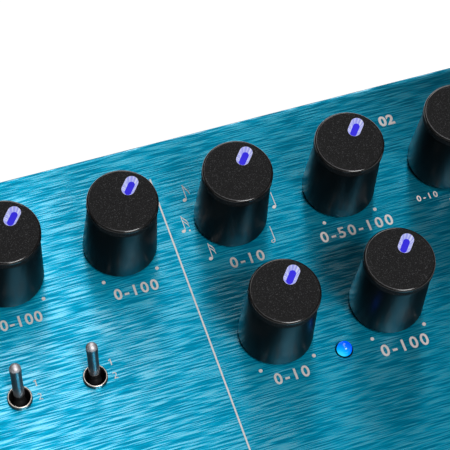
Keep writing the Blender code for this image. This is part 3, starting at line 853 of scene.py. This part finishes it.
bm = bmesh.new()
pointer_foot = SKIRT_TOP + 0.05 * MM
rim = raised(bm, capsule(bm, *POINTER_SIZE, pointer_foot), KNOB_HEIGHT - 0.03 * MM - pointer_foot)
bmesh.ops.inset_region(bm, faces=[rim], thickness=0.05 * MM)
bmesh.ops.inset_region(bm, faces=[rim], thickness=WELL_TAPER, depth=-WELL_DEPTH)
rim.material_index = 1
layer = bm.loops.layers.uv.new("wrap")
for face in bm.faces:
    middle = face.calc_center_median()
    home = math.atan2(middle.y - POINTER_CENTRE, middle.x)
    for loop in face.loops:
        at = loop.vert.co
        angle = math.atan2(at.y - POINTER_CENTRE, at.x)
        angle += math.tau * round((home - angle) / math.tau)
        loop[layer].uv = (angle * 1.5 * MM, at.z)
pointer_mesh = mesh_from(bm)

for number, (x, row) in enumerate(KNOBS, 1):
    body = f"knob_{number}"
    spot = on_panel(x, row, 0, POINTER_TURN)
    for part, mesh, finishes, slot in (
        ("cap", cap_mesh, [cap_coat, cap_edge], "knob_cap"),
        ("skirt", skirt_mesh, skirt_coat, "knob_skirt"),
        ("shaft", shaft_mesh, clear_guide, "lit_shaft"),
        ("pointer", pointer_mesh, [well_glow, floor_glow], "lit_shaft"),
    ):
        node = None if part == "pointer" else f"{body}_{part}"
        piece_of_mesh(f"{part}_{number}", mesh.copy(), finishes, body, spot, node)
print("knobs:", len(KNOBS))

# %% [markdown]
# ## Toggles
#
# The collar is a thin bright rim with a dark well inside. The lever is a slim handle
# that widens towards a domed tip, turned about its own length and leant back on its
# pivot. Its foot, down in the well, is painted black as painted shade, and its tip is
# a rougher steel painted paler as a painted highlight.

# %% Toggle parts
LEVER_LEAN = math.radians(-18.5)
PIVOT_DEPTH = 0.8 * MM
BALL_TOP = 0.8 * MM
SHADE_PAINTED_BELOW = 2.1 * MM
TIP_FROM = 8.8 * MM
for number, (x, row) in enumerate(TOGGLES, 1):
    spot = on_panel(x, row)
    bm = turned(
        [
            (2.45 * MM, -2.7 * MM),
            *arc(2.27 * MM, 0.82 * MM, 0.18 * MM, 0, 180, 8),
            (2.09 * MM, 0.6 * MM),
            (2.09 * MM, -2.7 * MM),
        ],
        64,
    )
    piece(f"toggle_rim_{number}", bm, collar_metal, "housing", spot)

    bm = turned(
        [
            (0, -4.6 * MM),
            (1.9 * MM, -4.6 * MM),
            (2.05 * MM, 0.55 * MM),
            (2.12 * MM, 0.55 * MM),
            (2.12 * MM, -5.0 * MM),
            (0, -5.0 * MM),
        ],
        48,
    )
    block(bm, (0, 0, -6.95 * MM), (5.2 * MM, 9 * MM, 3.3 * MM))
    piece(
        f"toggle_well_{number}",
        bm,
        moulded,
        "housing",
        spot,
        f"toggle_{number}_body",
    )

    bm = turned(
        [
            (0, -2.2 * MM),
            (0.95 * MM, -2.2 * MM),
            (1.35 * MM, -0.9 * MM),
            (1.35 * MM, -0.2 * MM),
            (0.8 * MM, BALL_TOP),
            *arc(0.86 * MM, 1.2 * MM, 0.26 * MM, -80, 0, 5),
            (1.12 * MM, SHADE_PAINTED_BELOW),
            (1.12 * MM, 7.9 * MM),
            (1.18 * MM, 8.2 * MM),
            *[
                (1.18 * MM * math.cos(a), 9.2 * MM + 1.14 * MM * math.sin(a))
                for a in (math.pi / 2 * n / 12 for n in range(12))
            ],
            (0, 10.34 * MM),
        ],
        64,
    )
    map_round(bm, 1.1 * MM)
    # The foot of the lever, down in the well, is painted black moulded plastic as painted shade;
    # the domed tip takes a rougher steel painted paler, a painted highlight.
    for face in bm.faces:
        middle = face.calc_center_median()
        face.material_index = 1 if middle.z < SHADE_PAINTED_BELOW else 2 if middle.z > TIP_FROM else 0
    pivot = on_panel(x, row, -PIVOT_DEPTH) @ Matrix.Rotation(LEVER_LEAN, 4, "X")
    piece(
        f"lever_{number}",
        bm,
        [lever_steel, moulded, tip_steel_painted_highlight],
        f"toggle_{number}",
        pivot,
        f"toggle_{number}_lever",
    )
print("toggles:", len(TOGGLES))

# %% [markdown]
# ## Indicator lamps
#
# A lamp is a tinted dome on a short stalk, and it glows. Its glow is painted paler towards
# the front left and deeper on the other side, a painted highlight, and its foot under the
# panel is a dark lens that does not glow: painted shade in the gap round the dome.

# %% Lamps
# The glow's colour is painted paler where the dome faces front left and deeper elsewhere: a painted
# highlight on the lamp's own glow.
lens_tree = lens_blue.node_tree
facing = lens_tree.nodes.new("ShaderNodeNewGeometry").outputs["Normal"]
side = lens_tree.nodes.new("ShaderNodeVectorMath")
side.operation = "DOT_PRODUCT"
side.inputs[1].default_value = (-0.72, -0.66, -0.2)
lens_tree.links.new(facing, side.inputs[0])
half = math_node(lens_tree, "MULTIPLY", side.outputs["Value"], 0.5)
feed(
    lens_blue,
    ramp(
        lens_blue,
        math_node(lens_tree, "ADD", half, 0.5),
        (
            (0.10, (0.0, 0.050, 0.95)),
            (0.45, (0.0, 0.120, 1.0)),
            (0.66, (0.0, 0.270, 1.0)),
            (0.84, (0.0, 0.460, 1.0)),
            (0.97, (0.03, 0.720, 1.0)),
        ),
    ),
    "Emission Color",
)
marks = use_effect(lens_blue, handling, object_map(lens_blue))
feed(lens_blue, span(lens_blue, marks["Patches"], 0.08, 0.16), "Roughness")
LIT_FROM = 0.1 * MM
for name, (x, row) in LAMPS.items():
    bm = turned(
        [
            (0, -3.0 * MM),
            (1.95 * MM, -3.0 * MM),
            (1.95 * MM, -2.3 * MM),
            (1.55 * MM, -2.3 * MM),
            (1.55 * MM, LIT_FROM),
            *[
                (1.55 * MM * math.cos(a), 0.5 * MM + 1.55 * MM * math.sin(a))
                for a in (math.pi / 2 * n / 16 for n in range(16))
            ],
            (0, 2.05 * MM),
        ],
        64,
    )
    for leg in (-1.27 * MM, 1.27 * MM):
        block(bm, (leg, 0, -5.7 * MM), (0.5 * MM, 0.5 * MM, 5.4 * MM))
    # Faces below the panel take the dark foot: painted shade in the gap round the dome.
    for face in bm.faces:
        face.material_index = 1 if face.calc_center_median().z < LIT_FROM else 0
    piece(
        name + "_dome",
        bm,
        [lens_blue, lens_foot_painted_shade],
        "housing",
        on_panel(x, row),
        name,
    )
print("lamps:", len(LAMPS))

# %% [markdown]
# ## Print
#
# The marks are ink, a few hundredths of a millimetre thick. Dots show where each dial
# starts and ends, numbers stand under it, and small notes round one knob give its
# steps. Everything is drawn flat near the origin and carried to the panel as a mesh.

# %% Ink shapes
INK = 0.03 * MM
INK_LIFT = 0.005 * MM


def printed(name, mesh, place=PANEL):
    piece_of_mesh(name, mesh, ink, "housing", place)


def word(text, height, weight, spacing=1.1):
    """Digits as a thin mesh, centred on its own middle, of the given height."""
    curve = bpy.data.curves.new("digits", "FONT")
    curve.body = text
    curve.size = height / (0.7 + 2 * weight)
    curve.offset = weight * curve.size
    curve.extrude = INK / 2
    curve.space_character = spacing
    curve.resolution_u = 6
    made = bpy.data.objects.new("digits", curve)
    scene.collection.objects.link(made)
    graph = bpy.context.evaluated_depsgraph_get()
    mesh = bpy.data.meshes.new_from_object(made.evaluated_get(graph))
    bpy.data.objects.remove(made)
    sides = [[f(v.co[axis] for v in mesh.vertices) for f in (min, max)] for axis in (0, 1)]
    middle = [-sum(pair) / 2 for pair in sides]
    mesh.transform(Matrix.Translation((*middle, INK / 2 + INK_LIFT)))
    return mesh


def disc(bm, radius, at, squeeze=1.0, lean=0.0, hole=0.0):
    """A flat round mark, or a ring where a hole is asked for."""
    place = Matrix.Translation((*at, INK_LIFT)) @ Matrix.Rotation(lean, 4, "Z")
    place = place @ Matrix.Diagonal((1, squeeze, 1, 1))
    edges = set()
    for size in (radius, hole) if hole else (radius,):
        made = bmesh.ops.create_circle(
            bm, cap_ends=not hole, segments=32, radius=size, matrix=place
        )
        edges |= {edge for corner in made["verts"] for edge in corner.link_edges}
    if hole:
        bmesh.ops.bridge_loops(bm, edges=list(edges))


def stroke(bm, points, widths):
    """A line of ink through points, whose width may change from point to point."""
    spots = [Vector((*point, INK_LIFT)) for point in points]
    if isinstance(widths, float):
        widths = [widths] * len(spots)
    pairs = []
    for n, (spot, wide) in enumerate(zip(spots, widths)):
        along = (spots[min(n + 1, len(spots) - 1)] - spots[max(n - 1, 0)]).normalized()
        across = Vector((-along.y, along.x, 0)) * wide / 2
        pairs.append((bm.verts.new(spot - across), bm.verts.new(spot + across)))
    for (low, high), (next_low, next_high) in zip(pairs, pairs[1:]):
        bm.faces.new((low, next_low, next_high, high))


def thicken(bm):
    """Gives flat ink its thickness."""
    bmesh.ops.recalc_face_normals(bm, faces=bm.faces)
    pulled = bmesh.ops.extrude_face_region(bm, geom=list(bm.faces), use_keep_orig=True)
    moved = [v for v in pulled["geom"] if isinstance(v, bmesh.types.BMVert)]
    bmesh.ops.translate(bm, verts=moved, vec=(0, 0, INK))
    bmesh.ops.recalc_face_normals(bm, faces=bm.faces)
    return mesh_from(bm)


# %% Divider and dots
bm = bmesh.new()
stroke(bm, [(-1.25 * MM, -8.4 * MM), (-1.35 * MM, -78 * MM)], 0.33 * MM)
printed("divider", thicken(bm))

DOT_SPREAD = 5.68 * MM
DOT_DROP = 7.15 * MM
DOTTED = (1, 2, 3, 5, 7, 8)
bm = bmesh.new()
for x, row in (KNOBS[number - 1] for number in DOTTED):
    for side in (-1, 1):
        disc(bm, 0.38 * MM, (x + side * DOT_SPREAD, -row - DOT_DROP))
printed("dots", thicken(bm))

# %% [markdown]
# Each row says what is printed, where its middle lies in millimetres, how tall it is,
# and how heavy and how loosely set its digits are.

# %% Numbers
SMALL = 1.4
for name, text, x, row, height, weight, spacing in (
    ("dial_1", "0-10", -60, 32.1, 2.45, 0.02, 1.2),
    ("dial_2", "0-100", -36, 32.1, 2.45, 0.02, 1.16),
    ("dial_3", "0-100", -11.85, 32.05, 2.45, 0.02, 1.25),
    ("dial_4", "0-10", 12.1, 31.95, 2.45, 0.02, 1.28),
    ("dial_5", "0-50-100", 36.4, 31.8, 2.5, 0.02, 1.32),
    ("dial_6", "1-3", 60, 31.9, 2.45, 0.02, 1.2),
    ("dial_7", "0-10", 12, 59.1, 2.45, 0.02, 1.28),
    ("dial_8", "0-100", 36.2, 59.6, 2.6, 0.02, 1.3),
    ("dial_6_left", "0-10", 53.5, 28.9, SMALL, 0.022, 1.45),
    ("dial_6_right", "0-20", 66.5, 28.9, SMALL, 0.022, 1.45),
    ("section_left", "01", -48, 8.9, 2.5, 0.038, 1.1),
    ("section_right", "02", 52.0, 8.95, 2.5, 0.038, 1.1),
):
    printed(name, word(text, height * MM, weight, spacing), on_panel(x * MM, row * MM))

THROW_SIDE = 3.9 * MM
THROW_HEIGHT = 1.42 * MM
for number, (x, row) in enumerate(TOGGLES, 1):
    column = x + THROW_SIDE
    bm = bmesh.new()
    top = -row + 3.05 * MM
    stroke(bm, [(column, top - THROW_HEIGHT), (column, top)], 0.24 * MM)
    stroke(
        bm, [(column - 0.42 * MM, top - 0.34 * MM), (column + 0.04 * MM, top - 0.08 * MM)], 0.2 * MM
    )
    printed(f"throw_up_{number}", thicken(bm))
    low = word("2", THROW_HEIGHT, -0.004)
    printed(f"throw_down_{number}", low, on_panel(column, row + 0.65 * MM))

# %% [markdown]
# A note is a leaning oval head, a thin stem and, on the short ones, curved flags. They
# stand round one dial, and each is drawn in millimetres from the middle of that dial.


# %% Notes
def note(bm, head, foot, top, flags=(), dot=None, is_open=False):
    """One note: the middle of its head, the two ends of its stem, then its flags."""
    head, foot, top = (NOTE_DIAL + Vector(point) * MM for point in (head, foot, top))
    disc(bm, 0.45 * MM, head, 0.78, math.radians(25), 0.3 * MM if is_open else 0)
    stroke(bm, [foot, top], 0.15 * MM)
    for flag in flags:
        points = [NOTE_DIAL + Vector(point) * MM for point in flag]
        stroke(bm, points, [0.12 * MM, 0.2 * MM, 0.17 * MM, 0.08 * MM])
    if dot:
        disc(bm, 0.2 * MM, NOTE_DIAL + Vector(dot) * MM)


NOTE_DIAL = Vector((KNOBS[3][0], -KNOBS[3][1]))
bm = bmesh.new()
note(
    bm,
    (-7.84, 6.31),
    (-7.42, 6.4),
    (-7.3, 9.85),
    [((-7.3, 9.7), (-6.86, 8.75), (-6.5, 8.1), (-6.42, 7.4))],
)
note(
    bm,
    (-10.34, -0.62),
    (-9.93, -0.5),
    (-9.88, 2.9),
    [
        ((-9.88, 2.75), (-9.4, 2.04), (-9.02, 1.5), (-8.9, 0.8)),
        ((-9.88, 1.75), (-9.4, 1.14), (-9.08, 0.7), (-8.9, 0.05)),
    ],
    (-9.1, -0.8),
)
note(
    bm,
    (-7.03, -8.25),
    (-6.62, -8.15),
    (-6.55, -4.7),
    [
        ((-6.55, -4.85), (-6.05, -5.6), (-5.75, -6.1), (-5.66, -6.7)),
        ((-6.57, -5.85), (-6.05, -6.4), (-5.75, -6.95), (-5.64, -7.5)),
    ],
)
note(bm, (6.66, -8.1), (7.1, -8.0), (7.08, -4.6), is_open=True)
note(bm, (9.56, -0.55), (10.0, -0.45), (9.98, 3.0))
note(
    bm,
    (7.9, 6.3),
    (8.32, 6.4),
    (8.4, 9.8),
    [((8.4, 9.65), (8.86, 8.75), (9.2, 8.1), (9.28, 7.4))],
    (9.1, 6.1),
)
printed("notes", thicken(bm))
print("print done")

# %% [markdown]
# ## Footswitches
#
# A stomp switch is a polished plunger in a threaded bushing, held by a hexagonal nut.
# The thread is a zigzag in the turned profile: at this size its rings read as a thread.
# The nut starts as a six-sided bar. A turned envelope takes off its corners, and a drill
# opens its middle. The sockets at the back have nuts of the same kind.

# %% Footswitch parts
THREAD_PITCH = 0.75 * MM


def thread(radius, low, high, depth, pitch=THREAD_PITCH):
    """The zigzag of a threaded bushing's side, from low to high."""
    turns = max(1, round((high - low) / pitch))
    points = []
    for n in range(turns):
        base = low + (high - low) * n / turns
        points.append((radius - depth, base))
        points.append((radius, base + (high - low) / turns / 2))
    points.append((radius - depth, high))
    return points


def hex_nut(radius, low, high, envelope, bore, reach, sides):
    """A six-sided nut from low to high, chamfered by a turned envelope and drilled.

    The envelope gives its wide radius, shoulder height, crown radius and top height.
    """
    wide, shoulder, crown, top = envelope
    bar, drill = bmesh.new(), bmesh.new()
    rod(bar, radius, high - low, Matrix.Translation((0, 0, (low + high) / 2)), 6)
    profile = [(0, -SPARE), (wide, -SPARE), (wide, shoulder), (crown, top), (0, top)]
    nut_mesh = cut(mesh_from(bar), turned(profile, sides), "INTERSECT")
    rod(drill, bore, 12 * MM, sides=sides)
    nut = bmesh_from(cut(nut_mesh, drill))
    map_round(nut, reach)
    return nut


for number, (x, row) in enumerate(FOOTSWITCHES, 1):
    spot = on_panel(x, row)
    bm = turned(
        [
            (5.8 * MM, -2.6 * MM),
            *thread(6.0 * MM, -2.2 * MM, 4.6 * MM, 0.28 * MM),
            *arc(5.5 * MM, 4.8 * MM, 0.2 * MM, 0, 90, 3),
            (4.4 * MM, 5.0 * MM),
            (4.4 * MM, -9.8 * MM),
            (5.8 * MM, -9.8 * MM),
        ],
        96,
    )
    map_round(bm, 6 * MM)
    piece(f"switch_bushing_{number}", bm, steel, "housing", spot)

    envelope = (9.4 * MM, 2.2 * MM, 7.4 * MM, 3.4 * MM)
    bm = hex_nut(8.8 * MM, 0.3 * MM, 3.1 * MM, envelope, 6.15 * MM, 8 * MM, 96)
    node = f"footswitch_{number}_nut"
    piece(f"switch_nut_{number}", bm, steel, "housing", spot, node)

    bm = turned(
        [
            (0, -7 * MM),
            (4.1 * MM, -7 * MM),
            *arc(3.5 * MM, 8.2 * MM, 0.6 * MM, 0, 60, 6),
            (2.5 * MM, 9.15 * MM),
            (1.2 * MM, 9.42 * MM),
            (0, 9.5 * MM),
        ],
        96,
    )
    map_round(bm, 4 * MM)
    body, node = f"plunger_{number}", f"footswitch_{number}_plunger"
    piece(f"plunger_top_{number}", bm, steel, body, spot, node)

    bm = bmesh.new()
    block(bm, (0, 0, -14.3 * MM), (17 * MM, 17 * MM, 9 * MM))
    block(bm, (0, 0, -6.0 * MM), (17 * MM, 17 * MM, 7.4 * MM))
    switch_mesh = mesh_from(bm)
    bm = bmesh.new()
    rod(bm, 5.9 * MM, 12 * MM, Matrix.Translation((0, 0, -3.9 * MM)), 48)
    bm = bmesh_from(cut(switch_mesh, bm))
    corners = [e for e in bm.edges if e.is_manifold and e.calc_face_angle() > 1.2]
    soften(bm, corners, 0.3 * MM, 2)
    node = f"footswitch_{number}_body"
    piece(f"switch_case_{number}", bm, moulded, "housing", spot, node)
print("footswitches:", len(FOOTSWITCHES))

# %% [markdown]
# ## Sockets
#
# The jacks have threaded black barrels and bright nuts; the throat inside is turned with
# the barrel, in the same black finish. The power socket is a flanged plastic barrel with
# its pin in the middle.

# %% Sockets
for number, x in enumerate(JACKS, 1):
    spot = REAR @ Matrix.Translation((x, 0, 0))
    bm = turned(
        [
            (4.7 * MM, -2.6 * MM),
            *thread(4.7 * MM, -2.2 * MM, 3.0 * MM, 0.22 * MM, 0.6 * MM),
            *arc(4.25 * MM, 3.2 * MM, 0.2 * MM, 0, 90, 3),
            (3.5 * MM, 3.4 * MM),
            (3.3 * MM, 3.2 * MM),
            (3.3 * MM, -20.3 * MM),
            (4.4 * MM, -20.6 * MM),
            (4.4 * MM, -2.6 * MM),
        ],
        64,
    )
    block(bm, (0, 0, -23.3 * MM), (15.6 * MM, 13.5 * MM, 5 * MM))
    node = f"jack_{number}"
    piece(f"jack_barrel_{number}", bm, moulded, "housing", spot, node)

    envelope = (7.0 * MM, 1.8 * MM, 5.6 * MM, 2.6 * MM)
    bm = hex_nut(6.6 * MM, 0.3 * MM, 2.5 * MM, envelope, 4.8 * MM, 6 * MM, 64)
    piece(f"jack_nut_{number}", bm, steel, "housing", spot)

bm = turned(
    [
        (0, -11.3 * MM),
        (5.6 * MM, -11.3 * MM),
        (5.6 * MM, 0.3 * MM),
        (6.8 * MM, 0.3 * MM),
        *arc(6.6 * MM, 1.3 * MM, 0.4 * MM, 0, 90, 4),
        (3.2 * MM, 1.7 * MM),
        (2.9 * MM, 1.4 * MM),
        (2.9 * MM, -7.8 * MM),
        (0, -7.8 * MM),
    ],
    64,
)
piece("power_barrel", bm, moulded, "housing", REAR, "dc_socket")
bm = turned(
    [
        (0, -7.8 * MM),
        (1.05 * MM, -7.8 * MM),
        *arc(0.65 * MM, 0.3 * MM, 0.4 * MM, 0, 90, 4),
        (0, 0.7 * MM),
    ],
    32,
)
map_round(bm, 1 * MM)
piece("power_pin", bm, steel, "housing", REAR)
print("sockets done")

# %% [markdown]
# ## Underside
#
# The plate is powder coated, with four rubber feet and four cross-head screws.

# %% Feet and screws
for number in range(1, 5):
    low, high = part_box(f"foot_{number}")
    middle = (low + high) / 2
    bm = turned(
        [
            (0, 0),
            (5.6 * MM, 0),
            *arc(5.7 * MM, 0.4 * MM, 0.4 * MM, -90, -10, 5),
            (6.4 * MM, 2.7 * MM),
            (6.2 * MM, 3 * MM),
            (0, 3 * MM),
        ],
        64,
    )
    spot = Matrix.Translation((middle.x, middle.y, 0))
    node = f"foot_{number}"
    piece(f"foot_pad_{number}", bm, rubber, "housing", spot, node)

    low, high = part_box(f"plate_screw_{number}")
    middle = (low + high) / 2
    bm = turned(
        [
            (0, -1.6 * MM),
            (1.4 * MM, -1.58 * MM),
            (2.2 * MM, -1.4 * MM),
            *arc(2.3 * MM, -0.9 * MM, 0.5 * MM, -60, 0, 4),
            (2.8 * MM, 0),
            (1.5 * MM, 0),
            (1.5 * MM, 10.2 * MM),
            (0, 10.8 * MM),
        ],
        48,
    )
    screw_mesh = mesh_from(bm)
    for turn_by in (0, math.pi / 2):
        bm = bmesh.new()
        block(bm, (0, 0, -1.6 * MM), (2.6 * MM, 0.6 * MM, 1.4 * MM), turn_by)
        screw_mesh = cut(screw_mesh, bm)
    bm = bmesh_from(screw_mesh)
    map_round(bm, 2 * MM)
    spot = Matrix.Translation((middle.x, middle.y, 3 * MM))
    node = f"plate_screw_{number}"
    piece(f"screw_{number}", bm, steel, "housing", spot, node)

# %% Carried solids
carried = {"base_plate": powder, "control_board": board_green}
for name, finish in carried.items():
    node = frame["nodes"][name]
    node.data.materials.clear()
    node.data.materials.append(finish)
print("carried:", list(carried))
